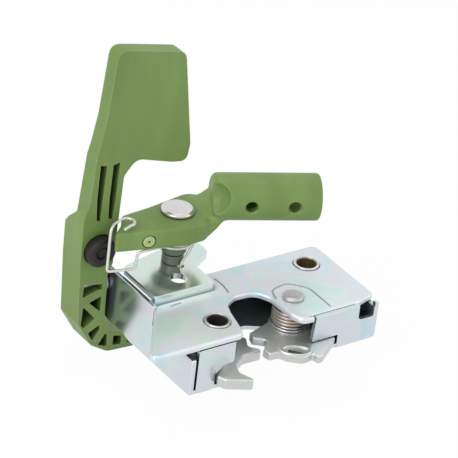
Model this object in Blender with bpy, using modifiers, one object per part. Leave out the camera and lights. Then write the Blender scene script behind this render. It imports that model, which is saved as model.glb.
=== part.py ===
# Rotary door latch with a release arm and a pull paddle.
# Metres, +Z up. The origin is the axis of the front bush on the cover plate's top face.
# +X runs along the case to the right, and the striker comes in from -Y.
import bpy
import bmesh
from math import acos, cos, hypot, pi, radians, sin, tan
from mathutils import Matrix

MM = 0.001

# Running gap between pieces that touch
GAP = 0.3 * MM

# Case: a folded cover plate on a folded lower tray
COVER_T = 2.5 * MM
COVER_FRONT = -12.4 * MM
COVER_STEP_Y = 20.2 * MM
COVER_BACK = 32.0 * MM
COVER_RIGHT = 71.0 * MM
COVER_STEP_X = 13.2 * MM
WING_BACK_X = -16.6 * MM
WING_FRONT_X = -40.4 * MM
LIP_H = 3.0 * MM
LIP_T = 2.4 * MM
TRAY_T = 1.8 * MM
WALL_X = -19.2 * MM
WALL_END = 60.0 * MM
WALL_TOP = 1.6 * MM
WALL_LOW_TOP = -6.6 * MM
SHALLOW_DEPTH = 17.7 * MM
JOGGLE_X = 20.6 * MM
FLANGE_RIGHT_Y = -15.0 * MM
FLANGE_RIGHT_X = 38.6 * MM
FLANGE_LEFT_X = -16.2 * MM
FLANGE_LEFT_END = 1.2 * MM

# Throat that the striker enters
THROAT_LEFT = 7.6 * MM
THROAT_RIGHT = 29.7 * MM
THROAT_DEPTH = 10.8 * MM
THROAT_LEFT_WIDE = 11.2 * MM

# Bushes and rivet
BUSH_OD = 11.2 * MM
BUSH_BORE = 8.5 * MM
BUSH_PROUD = 0.6 * MM
REAR_X = 58.8 * MM
REAR_Y = 20.8 * MM
RIVET_X = 38.4 * MM
RIVET_Y = 1.6 * MM
RIVET_D = 6.0 * MM
RIVET_HEAD_D = 9.2 * MM
RIVET_HEAD_H = 1.5 * MM

# Claw and rotor, each at its own clearance over the tray's floor, which is deeper under the claw
ROTOR_LIFT = 0.5 * MM
CLAW_LIFT = 0.7 * MM
ROTOR_T = 3.4 * MM
CLAW_T = 4.6 * MM
ROTOR_TOP = -SHALLOW_DEPTH + TRAY_T + ROTOR_LIFT + ROTOR_T
CLAW_TOP = ROTOR_TOP - ROTOR_T - GAP
TRAY_DEPTH = TRAY_T + CLAW_LIFT + CLAW_T - CLAW_TOP
COIL_D = 16.0 * MM
COIL_WIRE = 1.2 * MM
WASHER_T = 0.6 * MM
PAWL_REACH = 18.6 * MM
SMALL_WIRE = 1.1 * MM
SPACER_H = 0.8 * MM
CLAW_SPRING_ROOM = 6.2 * MM

# Arm bracket, arm and its pivot
BRACKET_TOP = 3.8 * MM
BRACKET_T = 2.5 * MM
PIVOT_X = 5.2 * MM
PIVOT_Y = 41.2 * MM
ARM_BOTTOM = 18.0 * MM
ARM_T = 9.0 * MM
ARM_HEAD_D = 13.8 * MM
ARM_HEAD_H = 1.8 * MM
ARM_SHANK_D = 6.0 * MM
TUBE_D = 18.8 * MM
TUBE_BORE = 12.6 * MM
TUBE_LENGTH = 37.6 * MM
TUBE_Z = 33.0 * MM
TUBE_X = 24.2 * MM
TUBE_Y = 34.4 * MM
TUBE_ANGLE = -24.8
CROSS_HOLE_D = 4.8 * MM
CROSS_HOLE_1 = 8.6 * MM
CROSS_HOLE_2 = 26.4 * MM
ARM_COIL_D = 17.0 * MM
ARM_WIRE = 1.2 * MM
ARM_COIL_TURNS = 3

# Paddle and its pin
PADDLE_FRONT = 47.0 * MM
PADDLE_DEPTH = 13.2 * MM
COLUMN_DEPTH = 8.8 * MM
BLADE_DEPTH = 6.6 * MM
POCKET_DEPTH = 10.0 * MM
SLOT_DEPTH = 6.5 * MM
BLADE_TOP = 104.0 * MM
PLUG_X = -27.9 * MM
PLUG_Z = 14.2 * MM
PLUG_D = 13.2 * MM
PLUG_PROUD = 4.5 * MM
PLUG_SEAT = 3.0 * MM
PIN_Y = PADDLE_FRONT + PADDLE_DEPTH / 2
PIN_Z = -6.0 * MM
PIN_D = 5.0 * MM

for old in list(bpy.data.objects):
    bpy.data.objects.remove(old)

part_set = bpy.data.collections.new("door_latch")
cutter_set = bpy.data.collections.new("cutters")
bpy.context.scene.collection.children.link(part_set)
bpy.context.scene.collection.children.link(cutter_set)


def finish(name, colour, roughness, metallic):
    material = bpy.data.materials.new(name)
    material.use_nodes = True
    shader = material.node_tree.nodes["Principled BSDF"]
    shader.inputs["Base Color"].default_value = (*colour, 1.0)
    shader.inputs["Roughness"].default_value = roughness
    shader.inputs["Metallic"].default_value = metallic
    return material


ZINC = finish("zinc_plate", (0.62, 0.65, 0.66), 0.28, 0.9)
STEEL = finish("forged_steel", (0.45, 0.46, 0.44), 0.38, 0.9)
BRIGHT = finish("bright_rivet", (0.68, 0.66, 0.66), 0.3, 0.9)
WIRE = finish("spring_wire", (0.5, 0.42, 0.34), 0.35, 0.9)
GREEN = finish("green_nylon", (0.16, 0.27, 0.06), 0.45, 0.0)
LIME = finish("lime_plug", (0.36, 0.5, 0.14), 0.4, 0.0)
BLACK = finish("black_rubber", (0.02, 0.018, 0.018), 0.6, 0.0)


def arc(x, y, radius, start, end, steps):
    points = []
    for i in range(steps + 1):
        angle = radians(start + (end - start) * i / steps)
        points.append((x + radius * cos(angle), y + radius * sin(angle)))
    return points


def rounded(corners, steps=4):
    # Each corner is x, y and its fillet radius
    points = []
    count = len(corners)
    for i, (x, y, radius) in enumerate(corners):
        if radius == 0:
            points.append((x, y))
            continue
        before = corners[i - 1]
        after = corners[(i + 1) % count]
        ax, ay = before[0] - x, before[1] - y
        bx, by = after[0] - x, after[1] - y
        la, lb = hypot(ax, ay), hypot(bx, by)
        ax, ay, bx, by = ax / la, ay / la, bx / lb, by / lb
        opening = acos(max(-1.0, min(1.0, ax * bx + ay * by)))
        reach = min(radius / tan(opening / 2), 0.48 * la, 0.48 * lb)
        for k in range(steps + 1):
            t = k / steps
            wa, wb = (1 - t) ** 2 * reach, t ** 2 * reach
            points.append((x + ax * wa + bx * wb, y + ay * wa + by * wb))
    return points


def add_object(name, mesh, material, collection=part_set):
    item = bpy.data.objects.new(name, mesh)
    collection.objects.link(item)
    if material:
        mesh.materials.clear()
        mesh.materials.append(material)
    mesh.shade_smooth()
    mesh.set_sharp_from_angle(angle=radians(35))
    return item


def mesh_from_curve(curve, matrix=None):
    holder = bpy.data.objects.new("holder", curve)
    bpy.context.scene.collection.objects.link(holder)
    bpy.context.view_layer.update()
    seen = holder.evaluated_get(bpy.context.evaluated_depsgraph_get())
    mesh = bpy.data.meshes.new_from_object(seen)
    bpy.data.objects.remove(holder)
    work = bmesh.new()
    work.from_mesh(mesh)
    bmesh.ops.remove_doubles(work, verts=work.verts, dist=0.00001)
    bmesh.ops.recalc_face_normals(work, faces=work.faces)
    work.to_mesh(mesh)
    work.free()
    if matrix:
        mesh.transform(matrix)
    return mesh


def plate_mesh(loops, low, high, matrix=None):
    # A flat outline with its holes, filled and extruded from low to high
    curve = bpy.data.curves.new("outline", "CURVE")
    curve.dimensions = "2D"
    curve.fill_mode = "BOTH"
    curve.extrude = (high - low) / 2
    for loop in loops:
        spline = curve.splines.new("POLY")
        spline.points.add(len(loop) - 1)
        for point, (x, y) in zip(spline.points, loop):
            point.co = (x, y, 0, 1)
        spline.use_cyclic_u = True
    move = Matrix.Translation((0, 0, (high + low) / 2))
    return mesh_from_curve(curve, matrix @ move if matrix else move)


# Turns a flat outline in X and Z so that its thickness runs along -Y
UPRIGHT = Matrix.Rotation(radians(90), 4, "X")
# Turns a flat outline in Y and Z so that its thickness runs along +X
SIDEWAYS = Matrix(((0, 0, 1, 0), (1, 0, 0, 0), (0, 1, 0, 0), (0, 0, 0, 1)))


def plate(name, loops, low, high, material, matrix=None):
    return add_object(name, plate_mesh(loops, low, high, matrix), material)


def upright_mesh(loops, front, back):
    return plate_mesh(loops, -back, -front, UPRIGHT)


def modify(item, tool, operation):
    step = item.modifiers.new(operation.lower(), "BOOLEAN")
    step.operation = operation
    step.solver = "EXACT"
    step.object = tool
    return step


def guide(name, mesh):
    tool = add_object(name, mesh, None, cutter_set)
    tool.hide_render = True
    tool.display_type = "WIRE"
    return tool


def cut(item, name, mesh):
    modify(item, guide(name, mesh), "DIFFERENCE")


def join(item, name, mesh):
    modify(item, guide(name, mesh), "UNION")


def drum_mesh(radius, low, high, matrix=None, segments=32):
    return plate_mesh([arc(0, 0, radius, 0, 360 - 360 / segments, segments - 1)], low, high, matrix)


def at(x, y, z=0.0):
    return Matrix.Translation((x, y, z))


def turned(name, profile, x, y, material, matrix=None, steps=32):
    # The profile runs down its outer side, top to bottom, as (radius, height)
    mesh = bpy.data.meshes.new(name)
    verts = [(radius, 0, height) for radius, height in profile]
    on_axis = profile[0][0] == 0
    last = len(verts) - 1
    edges = [(i, i + 1) for i in range(last)]
    if not on_axis:
        edges.append((last, 0))
    mesh.from_pydata(verts, edges, [])
    item = bpy.data.objects.new(name, mesh)
    part_set.objects.link(item)
    mesh.materials.append(material)
    screw = item.modifiers.new("turn", "SCREW")
    screw.steps = steps
    screw.render_steps = steps
    screw.use_merge_vertices = True
    screw.merge_threshold = 0.00001
    screw.use_smooth_shade = True
    item.matrix_world = at(x, y) @ (matrix or Matrix.Identity(4))
    return item


def wire(name, points, diameter, material):
    curve = bpy.data.curves.new(name, "CURVE")
    curve.dimensions = "3D"
    curve.bevel_depth = diameter / 2
    curve.bevel_resolution = 2
    curve.use_fill_caps = True
    spline = curve.splines.new("POLY")
    spline.points.add(len(points) - 1)
    for point, place in zip(spline.points, points):
        point.co = (*place, 1)
    item = bpy.data.objects.new(name, curve)
    part_set.objects.link(item)
    curve.materials.append(material)
    return item


def helix(x, y, radius, low, high, turns, start, per_turn=16):
    count = int(turns * per_turn)
    points = []
    for i in range(count + 1):
        angle = radians(start) + 2 * pi * turns * i / count
        points.append((x + radius * cos(angle), y + radius * sin(angle), low + (high - low) * i / count))
    return points


def throat(margin):
    # Outline of the striker's way in, widened all round by margin
    return rounded([
        (THROAT_LEFT - 4 * MM - margin, FLANGE_RIGHT_Y - 6 * MM, 0),
        (THROAT_RIGHT + 2 * MM + margin, FLANGE_RIGHT_Y - 6 * MM, 0),
        (THROAT_RIGHT + margin, COVER_FRONT + 2 * MM, 3 * MM),
        (THROAT_RIGHT + margin, THROAT_DEPTH - 3 * MM, 3 * MM),
        (THROAT_RIGHT - 6 * MM, THROAT_DEPTH + margin, 6 * MM),
        (THROAT_LEFT_WIDE + 2 * MM, THROAT_DEPTH + margin, 6 * MM),
        (THROAT_LEFT_WIDE - 3 * MM - margin, THROAT_DEPTH - 7 * MM, 5 * MM),
        (THROAT_LEFT + 0.5 * MM - margin, COVER_FRONT + 6 * MM, 4 * MM),
    ])


# Cover plate: the pressed top of the case, with the slanted wing at its left end
def make_cover():
    low, high = -COVER_T, 0
    outline = rounded([
        (WING_FRONT_X, COVER_FRONT, 3 * MM),
        (COVER_RIGHT - 9 * MM, COVER_FRONT, 0),
        (COVER_RIGHT, COVER_FRONT + 2.6 * MM, 2 * MM),
        (COVER_RIGHT, COVER_BACK, 4 * MM),
        (COVER_STEP_X, COVER_BACK, 2 * MM),
        (COVER_STEP_X, COVER_STEP_Y, 1 * MM),
        (WING_BACK_X, COVER_STEP_Y, 2 * MM),
    ])
    cover = plate("cover_plate", [outline], low, high, ZINC)
    lip_y = COVER_FRONT + LIP_T
    slope = (COVER_STEP_Y - COVER_FRONT) / (WING_BACK_X - WING_FRONT_X)
    width = LIP_T * hypot(1, slope) / slope
    lip = [
        (WING_FRONT_X + 0.6 * MM, COVER_FRONT + 0.2 * MM),
        (FLANGE_LEFT_X - 6 * MM, COVER_FRONT + 0.2 * MM),
        (FLANGE_LEFT_X - 6 * MM, lip_y),
        (WING_FRONT_X + width + LIP_T / slope, lip_y),
        (WING_BACK_X - 3 * MM, COVER_STEP_Y - width * slope - 5 * MM),
        (WING_BACK_X - 3 * MM, COVER_STEP_Y - 3.4 * slope * MM),
    ]
    join(cover, "wing_lip", plate_mesh([lip], low - LIP_H, high - 1 * MM))
    # The lobe that carries the rotor's rivet reaches out to the front
    lobe = rounded([
        (THROAT_RIGHT, COVER_FRONT + 4 * MM, 0),
        (THROAT_RIGHT + 1.2 * MM, FLANGE_RIGHT_Y + 0.4 * MM, 3 * MM),
        (FLANGE_RIGHT_X - GAP, FLANGE_RIGHT_Y + 0.4 * MM, 0),
        (FLANGE_RIGHT_X - GAP, COVER_FRONT + 4 * MM, 0),
    ])
    cut(cover, "throat_cut", plate_mesh([throat(0)], low - 8 * MM, high + 4 * MM))
    join(cover, "rivet_lobe", plate_mesh([lobe], low, high))
    for name, x, y, bore in (
        ("front_bore", 0, 0, BUSH_OD / 2 + GAP),
        ("rear_bore", REAR_X, REAR_Y, BUSH_OD / 2 + GAP),
        ("rivet_bore", RIVET_X, RIVET_Y, RIVET_D / 2 + GAP),
    ):
        cut(cover, name, drum_mesh(bore, low - MM, high + MM, at(x, y)))
    return cover


# Lower tray: the folded bottom of the case, deep at the left and shallow at the right
def make_tray():
    floor_low, floor_high = -TRAY_DEPTH, -TRAY_DEPTH + TRAY_T
    wall_in = WALL_X + TRAY_T
    right = COVER_RIGHT - MM
    # Each fold is joined with a small offset, so that no two faces lie in one plane
    ease = 0.12 * MM
    deep = [
        (WALL_X + ease, COVER_FRONT + ease),
        (JOGGLE_X + TRAY_T - ease, COVER_FRONT + ease),
        (JOGGLE_X + TRAY_T - ease, COVER_BACK - ease),
        (WALL_X + ease, COVER_BACK - ease),
    ]
    tray = plate("lower_tray", [deep], floor_low, floor_high, ZINC)
    shallow = rounded([
        (JOGGLE_X + ease, FLANGE_RIGHT_Y + ease, 0),
        (right - ease, FLANGE_RIGHT_Y + ease, 2.5 * MM),
        (right - ease, COVER_BACK - ease, 0),
        (JOGGLE_X + ease, COVER_BACK - ease, 0),
    ])
    join(tray, "shallow_floor", plate_mesh([shallow], -SHALLOW_DEPTH, -SHALLOW_DEPTH + TRAY_T))
    riser = [
        (JOGGLE_X, COVER_FRONT + 2 * ease),
        (JOGGLE_X + TRAY_T, COVER_FRONT + 2 * ease),
        (JOGGLE_X + TRAY_T, COVER_BACK - 2 * ease),
        (JOGGLE_X, COVER_BACK - 2 * ease),
    ]
    join(tray, "joggle", plate_mesh([riser], floor_low + ease, -SHALLOW_DEPTH + TRAY_T - ease))
    # The left wall stands low under the wing and high behind it
    wall = rounded([
        (COVER_FRONT, floor_low - ease, 1.5 * MM),
        (COVER_BACK, floor_low - ease, 2 * MM),
        (WALL_END, floor_low + 8 * MM, 3 * MM),
        (WALL_END, WALL_TOP, 3 * MM),
        (COVER_STEP_Y + 0.6 * MM, WALL_TOP, 1 * MM),
        (COVER_STEP_Y + 0.6 * MM, WALL_LOW_TOP, 1 * MM),
        (COVER_FRONT, WALL_LOW_TOP, 1.5 * MM),
    ])
    join(tray, "left_wall", plate_mesh([wall], WALL_X, wall_in, SIDEWAYS))
    # The front left flange, with its corner cut away where the claw comes out
    notch = -7.4 * MM
    flange = rounded([
        (FLANGE_LEFT_X, floor_low - ease, 1 * MM),
        (notch, floor_low - ease, 2 * MM),
        (notch, CLAW_TOP - 0.4 * MM, 1 * MM),
        (notch + 3.9 * MM, CLAW_TOP + 3.3 * MM, 3 * MM),
        (FLANGE_LEFT_END, CLAW_TOP + 3.5 * MM, 1 * MM),
        (FLANGE_LEFT_END, -COVER_T - GAP, 1 * MM),
        (FLANGE_LEFT_X, -COVER_T - GAP, 1 * MM),
    ])
    join(tray, "left_flange", upright_mesh([flange], COVER_FRONT, COVER_FRONT + TRAY_T))
    # The front right flange has a window at its far end and steps up over the rotor
    window_left = 60.2 * MM
    window_right = COVER_RIGHT - 2.8 * MM
    window_floor = -7.2 * MM
    step_x = 50.6 * MM
    step_z = ROTOR_TOP + 0.5 * MM
    flange = rounded([
        (step_x, -SHALLOW_DEPTH - ease, 0),
        (right, -SHALLOW_DEPTH - ease, 2.5 * MM),
        (right, -0.8 * MM, 2 * MM),
        (window_right, -0.8 * MM, 0),
        (window_right, window_floor, 1 * MM),
        (window_left, window_floor, 2 * MM),
        (window_left, -0.4 * MM, 0),
        (FLANGE_RIGHT_X, -0.4 * MM, 0.6 * MM),
        (FLANGE_RIGHT_X - MM, step_z, 0.6 * MM),
        (step_x, step_z, 0),
    ])
    join(tray, "right_flange", upright_mesh([flange], FLANGE_RIGHT_Y, FLANGE_RIGHT_Y + TRAY_T))
    rim = -COVER_T - GAP
    side = [
        (FLANGE_RIGHT_Y + ease, -SHALLOW_DEPTH + ease),
        (COVER_BACK - 2 * ease, -SHALLOW_DEPTH + ease),
        (COVER_BACK - 2 * ease, rim - ease),
        (FLANGE_RIGHT_Y + ease, rim - ease),
    ]
    side_x = right - 2 * ease
    join(tray, "right_wall", plate_mesh([side], side_x - TRAY_T, side_x, SIDEWAYS))
    back = [
        (COVER_STEP_X, floor_low + 2 * ease),
        (JOGGLE_X, floor_low + 2 * ease),
        (JOGGLE_X + 0.8 * MM, -SHALLOW_DEPTH + 2 * ease),
        (right, -SHALLOW_DEPTH + 2 * ease),
        (right, rim),
        (COVER_STEP_X, rim),
    ]
    join(tray, "back_wall", upright_mesh([back], COVER_BACK - TRAY_T, COVER_BACK))
    cut(tray, "tray_throat", plate_mesh([throat(1.5 * MM)], -TRAY_DEPTH - MM, CLAW_TOP))
    for name, x, y, bore in (
        ("tray_front_bore", 0, 0, BUSH_OD / 2 + GAP),
        ("tray_rear_bore", REAR_X, REAR_Y, BUSH_OD / 2 + GAP),
        ("tray_rivet_bore", RIVET_X, RIVET_Y, RIVET_D / 2 + GAP),
    ):
        cut(tray, name, drum_mesh(bore, -TRAY_DEPTH - MM, -SHALLOW_DEPTH + 2 * TRAY_T, at(x, y)))
    pin_turn = at(0, PIN_Y, PIN_Z) @ Matrix.Rotation(radians(90), 4, "Y")
    cut(tray, "tray_pin_bore", drum_mesh(PIN_D / 2 + GAP, WALL_X - MM, wall_in + MM, pin_turn, 24))
    return tray


# Bracket: a bent plate behind the cover that carries the arm
def make_bracket():
    low = BRACKET_TOP - BRACKET_T
    front = COVER_STEP_Y + GAP
    left = WALL_X + TRAY_T + 0.9 * MM
    outline = rounded([
        (left, front, 1 * MM),
        (11.6 * MM, front, 1 * MM),
        (12.3 * MM, 34.6 * MM, 3 * MM),
        (22.5 * MM, 40.5 * MM, 4 * MM),
        (23.7 * MM, 49.5 * MM, 5 * MM),
        (PIVOT_X, 50.4 * MM, 6 * MM),
        (left, 45.5 * MM, 4 * MM),
    ])
    bracket = plate("arm_bracket", [outline], low, BRACKET_TOP, ZINC)
    foot = rounded([
        (left, -TRAY_DEPTH + TRAY_T + GAP, 2 * MM),
        (11.6 * MM, -TRAY_DEPTH + TRAY_T + GAP, 2 * MM),
        (11.6 * MM, BRACKET_TOP - 0.5 * MM, 0),
        (left, BRACKET_TOP - 0.5 * MM, 0),
    ])
    join(bracket, "bracket_foot", upright_mesh([foot], front, front + BRACKET_T))
    cut(bracket, "sight_hole", drum_mesh(3.7 * MM, low - MM, BRACKET_TOP + MM, at(0, 28.6 * MM)))
    cut(bracket, "leg_hole", drum_mesh(1.6 * MM, low - MM, BRACKET_TOP + MM, at(6 * MM, 36.2 * MM), 16))
    cut(bracket, "pivot_hole", drum_mesh(ARM_SHANK_D / 2 + GAP, low - MM, BRACKET_TOP + MM, at(PIVOT_X, PIVOT_Y)))
    return bracket


# Bushes: turned tubes through the case, flared over the cover
def make_bush(name, x, y, depth):
    outer, inner = BUSH_OD / 2, BUSH_BORE / 2
    profile = [
        (inner, BUSH_PROUD - 0.3 * MM),
        (inner + 0.3 * MM, BUSH_PROUD),
        (outer - 0.3 * MM, BUSH_PROUD),
        (outer, BUSH_PROUD - 0.3 * MM),
        (outer, -depth),
        (inner, -depth),
    ]
    return turned(name, profile, x, y, BRIGHT)


# Rotor rivet: a headed steel rivet through both plates
def make_rotor_rivet():
    head, shank, flat = RIVET_HEAD_D / 2, RIVET_D / 2, GAP
    tail = -SHALLOW_DEPTH - GAP
    profile = [
        (0, flat + RIVET_HEAD_H),
        (head - 0.7 * MM, flat + RIVET_HEAD_H),
        (head, flat + RIVET_HEAD_H - 0.6 * MM),
        (head, flat),
        (shank, flat),
        (shank, tail),
        (shank + 1.5 * MM, tail),
        (shank + 1.2 * MM, tail - 1.2 * MM),
        (0, tail - 1.2 * MM),
    ]
    return turned("rotor_rivet", profile, RIVET_X, RIVET_Y, BRIGHT)


# Claw: a forged fork that turns on the front bush, under the rotor
def make_claw():
    low, high = CLAW_TOP - CLAW_T, CLAW_TOP
    outline = rounded([
        (9.5 * MM, 9.5 * MM, 9 * MM),
        (13.2 * MM, 0.5 * MM, 3 * MM),
        (19.6 * MM, -4.4 * MM, 0.8 * MM),
        (19.2 * MM, -6.4 * MM, 0.8 * MM),
        (10.5 * MM, -6.2 * MM, 3 * MM),
        (4.2 * MM, -10 * MM, 4 * MM),
        (2.4 * MM, -15.5 * MM, 2.5 * MM),
        (4.8 * MM, -21.4 * MM, 0.8 * MM),
        (4.0 * MM, -23.2 * MM, 0.8 * MM),
        (-6.0 * MM, -18.0 * MM, 1.5 * MM),
        (-7.6 * MM, -14.2 * MM, 0.8 * MM),
        (-6.4 * MM, -13 * MM, 0.5 * MM),
        (-6.0 * MM, -10 * MM, 4 * MM),
        (-9.4 * MM, 0, 6 * MM),
        (-7.5 * MM, 8.5 * MM, 7 * MM),
    ])
    claw = plate("left_claw", [outline], low, high, STEEL)
    cut(claw, "claw_bore", drum_mesh(BUSH_OD / 2 + GAP, low - MM, high + MM))
    return claw


# Rotor: the second fork, on the rivet above the claw's level, with an eye in its mouth
def make_rotor():
    low, high = ROTOR_TOP - ROTOR_T, ROTOR_TOP
    hub = 8.8 * MM
    outline = arc(RIVET_X, RIVET_Y, hub, -25, 150, 12)
    outline += rounded([
        (26.5 * MM, -1.5 * MM, 4 * MM),
        (20.6 * MM, -7.8 * MM, 1.5 * MM),
        (16.6 * MM, -10.8 * MM, 0.8 * MM),
        (17.2 * MM, -14.4 * MM, 0.8 * MM),
        (21.6 * MM, -14.6 * MM, 1.5 * MM),
        (23.4 * MM, -19.2 * MM, 2 * MM),
        (28.6 * MM, -22.9 * MM, 3 * MM),
        (33.8 * MM, -21.4 * MM, 0.5 * MM),
        (34.0 * MM, -24.8 * MM, 0.6 * MM),
        (36.6 * MM, -24.4 * MM, 0.6 * MM),
        (49.0 * MM, -15.6 * MM, 1 * MM),
        (47.2 * MM, -8 * MM, 3 * MM),
    ])[1:-1]
    rotor = plate("right_rotor", [outline], low, high, STEEL)
    cut(rotor, "rotor_bore", drum_mesh(RIVET_D / 2 + GAP, low - MM, high + MM, at(RIVET_X, RIVET_Y)))
    cut(rotor, "eye", drum_mesh(4.2 * MM, low - MM, high + MM, at(28.8 * MM, -16.5 * MM)))
    return rotor


# Rotor spring and the two washers that it is wound over
def make_rotor_stack():
    shank = RIVET_D / 2 + GAP
    washer = COIL_D / 2 - 0.4 * MM
    top = -COVER_T - GAP
    level = ROTOR_TOP + GAP
    for name, radius in (("lower_washer", washer + 0.8 * MM), ("upper_washer", washer)):
        profile = [(shank, level + WASHER_T), (radius, level + WASHER_T), (radius, level), (shank, level)]
        turned(name, profile, RIVET_X, RIVET_Y, BRIGHT)
        level += WASHER_T + GAP
    sleeve = 4.6 * MM
    profile = [(shank, top), (sleeve, top), (sleeve, level), (shank, level)]
    turned("spring_sleeve", profile, RIVET_X, RIVET_Y, STEEL)
    radius = (COIL_D - COIL_WIRE) / 2
    low, high = level + COIL_WIRE / 2, top - COIL_WIRE / 2
    coil = helix(RIVET_X, RIVET_Y, radius, low, high, (high - low) / (COIL_WIRE + 0.05 * MM), 60)
    wire("rotor_spring", coil, COIL_WIRE, WIRE)


# Claw spring and spacer, on the front bush between the claw and the cover
def make_claw_stack():
    inner = BUSH_OD / 2 + GAP
    bottom = ROTOR_TOP - ROTOR_T
    top = -COVER_T - GAP - CLAW_SPRING_ROOM
    profile = [(inner, top), (inner + 1.6 * MM, top), (inner + 1.6 * MM, bottom), (inner, bottom)]
    turned("claw_spacer", profile, 0, 0, STEEL)
    radius = inner + SMALL_WIRE
    low, high = top + GAP + 0.6 * MM, -COVER_T - GAP - 0.6 * MM
    turns = (high - low) / (SMALL_WIRE + 0.075 * MM)
    wire("claw_spring", helix(0, 0, radius, low, high, turns, 200, 13), SMALL_WIRE, WIRE)


# Pawl on the rear bush, its spacer and its spring
def make_pawl():
    low, high = ROTOR_TOP - ROTOR_T, ROTOR_TOP
    toward_x, toward_y = RIVET_X - REAR_X, RIVET_Y - REAR_Y
    span = hypot(toward_x, toward_y)
    ux, uy = toward_x / span, toward_y / span

    def place(along, across):
        return (REAR_X + ux * along - uy * across, REAR_Y + uy * along + ux * across)

    outline = []
    for along, across, radius in (
        (PAWL_REACH, -2.6 * MM, 1 * MM),
        (PAWL_REACH, 2.6 * MM, 1 * MM),
        (7 * MM, 5 * MM, 3 * MM),
        (0, 8.4 * MM, 6 * MM),
        (-7.6 * MM, 4.5 * MM, 4 * MM),
        (-7.6 * MM, -4.5 * MM, 4 * MM),
        (0, -8.4 * MM, 6 * MM),
        (7 * MM, -5 * MM, 3 * MM),
    ):
        outline.append((*place(along, across), radius))
    pawl = plate("pawl", [rounded(outline)], low, high, STEEL)
    bore = drum_mesh(BUSH_OD / 2 + GAP, low - MM, high + MM, at(REAR_X, REAR_Y))
    cut(pawl, "pawl_bore", bore)
    inner = BUSH_OD / 2 + GAP
    top = -COVER_T - GAP
    level = high + GAP
    rise = level + SPACER_H
    profile = [(inner, rise), (inner + 1.6 * MM, rise), (inner + 1.6 * MM, level), (inner, level)]
    turned("pawl_spacer", profile, REAR_X, REAR_Y, STEEL)
    low_coil, high_coil = rise + GAP + 0.6 * MM, top - 0.6 * MM
    turns = (high_coil - low_coil) / (SMALL_WIRE + 0.36 * MM)
    coil = helix(REAR_X, REAR_Y, inner + SMALL_WIRE, low_coil, high_coil, turns, 20, 12)
    wire("pawl_spring", coil, SMALL_WIRE, WIRE)


# Arm rivet: the big headed pivot, with the shoulder sleeve that the arm stands on
def make_arm_rivet():
    head, shank = ARM_HEAD_D / 2, ARM_SHANK_D / 2
    seat = ARM_BOTTOM + ARM_T + GAP
    foot = BRACKET_TOP - BRACKET_T - GAP
    profile = [
        (0, seat + ARM_HEAD_H),
        (head - 0.8 * MM, seat + ARM_HEAD_H),
        (head, seat + ARM_HEAD_H - 0.7 * MM),
        (head, seat + 0.2 * MM),
        (head - 0.3 * MM, seat),
        (shank, seat),
        (shank, foot),
        (shank + 1.6 * MM, foot),
        (shank + 1.6 * MM, foot - 1.4 * MM),
        (0, foot - 1.4 * MM),
    ]
    turned("arm_rivet", profile, PIVOT_X, PIVOT_Y, BRIGHT)
    inner = shank + GAP
    low, high = BRACKET_TOP + GAP + 5.2 * MM, ARM_BOTTOM - GAP
    profile = [
        (inner, high),
        (inner + 2 * MM, high),
        (inner + 2 * MM, low),
        (inner + 1.2 * MM, low - 0.8 * MM),
        (inner, low - 0.8 * MM),
    ]
    turned("arm_sleeve", profile, PIVOT_X, PIVOT_Y, STEEL)
    low = BRACKET_TOP + GAP
    high = low + 3.9 * MM
    profile = [(inner, high), (inner + 1.2 * MM, high), (inner + 1.2 * MM, low), (inner, low)]
    turned("arm_spacer", profile, PIVOT_X, PIVOT_Y, STEEL)


# Arm spring: one leg drops into the bracket, the other goes round the black plug
def make_arm_spring():
    radius = (ARM_COIL_D - ARM_WIRE) / 2
    high = ARM_BOTTOM - GAP - ARM_WIRE / 2
    low = high - (ARM_WIRE + 0.2 * MM) * ARM_COIL_TURNS
    leg = [
        (6 * MM, 36.2 * MM, BRACKET_TOP - 2 * MM),
        (6.1 * MM, 36.0 * MM, BRACKET_TOP + 1.6 * MM),
        (8.4 * MM, 34.9 * MM, low - 2.5 * MM),
    ]
    coil = helix(PIVOT_X, PIVOT_Y, radius, low, high, ARM_COIL_TURNS - 0.1, 298)
    tail = [
        (-9.5 * MM, 34.1 * MM, high),
        (-15.6 * MM, 34.3 * MM, high),
        (-16.8 * MM, 34.6 * MM, high - 0.8 * MM),
        (-17.2 * MM, 35.0 * MM, 10 * MM),
        (-18.2 * MM, 35.3 * MM, 9 * MM),
        (-28.0 * MM, 37.8 * MM, 9 * MM),
        (-28.9 * MM, 38.0 * MM, 9.8 * MM),
        (-29.0 * MM, 38.0 * MM, 26.5 * MM),
        (-28.6 * MM, 38.4 * MM, 28.6 * MM),
        (-26.6 * MM, 39.8 * MM, 29.6 * MM),
    ]
    hook = [(-20.6 * MM + 2.9 * MM * x, 38.9 * MM + 2.9 * MM * y, 29.6 * MM) for x, y in arc(0, 0, 1, 105, -95, 8)]
    end = [(-24.6 * MM, 34.6 * MM, 29.6 * MM)]
    wire("arm_spring", leg + coil + tail + hook + end, ARM_WIRE, WIRE)


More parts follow.
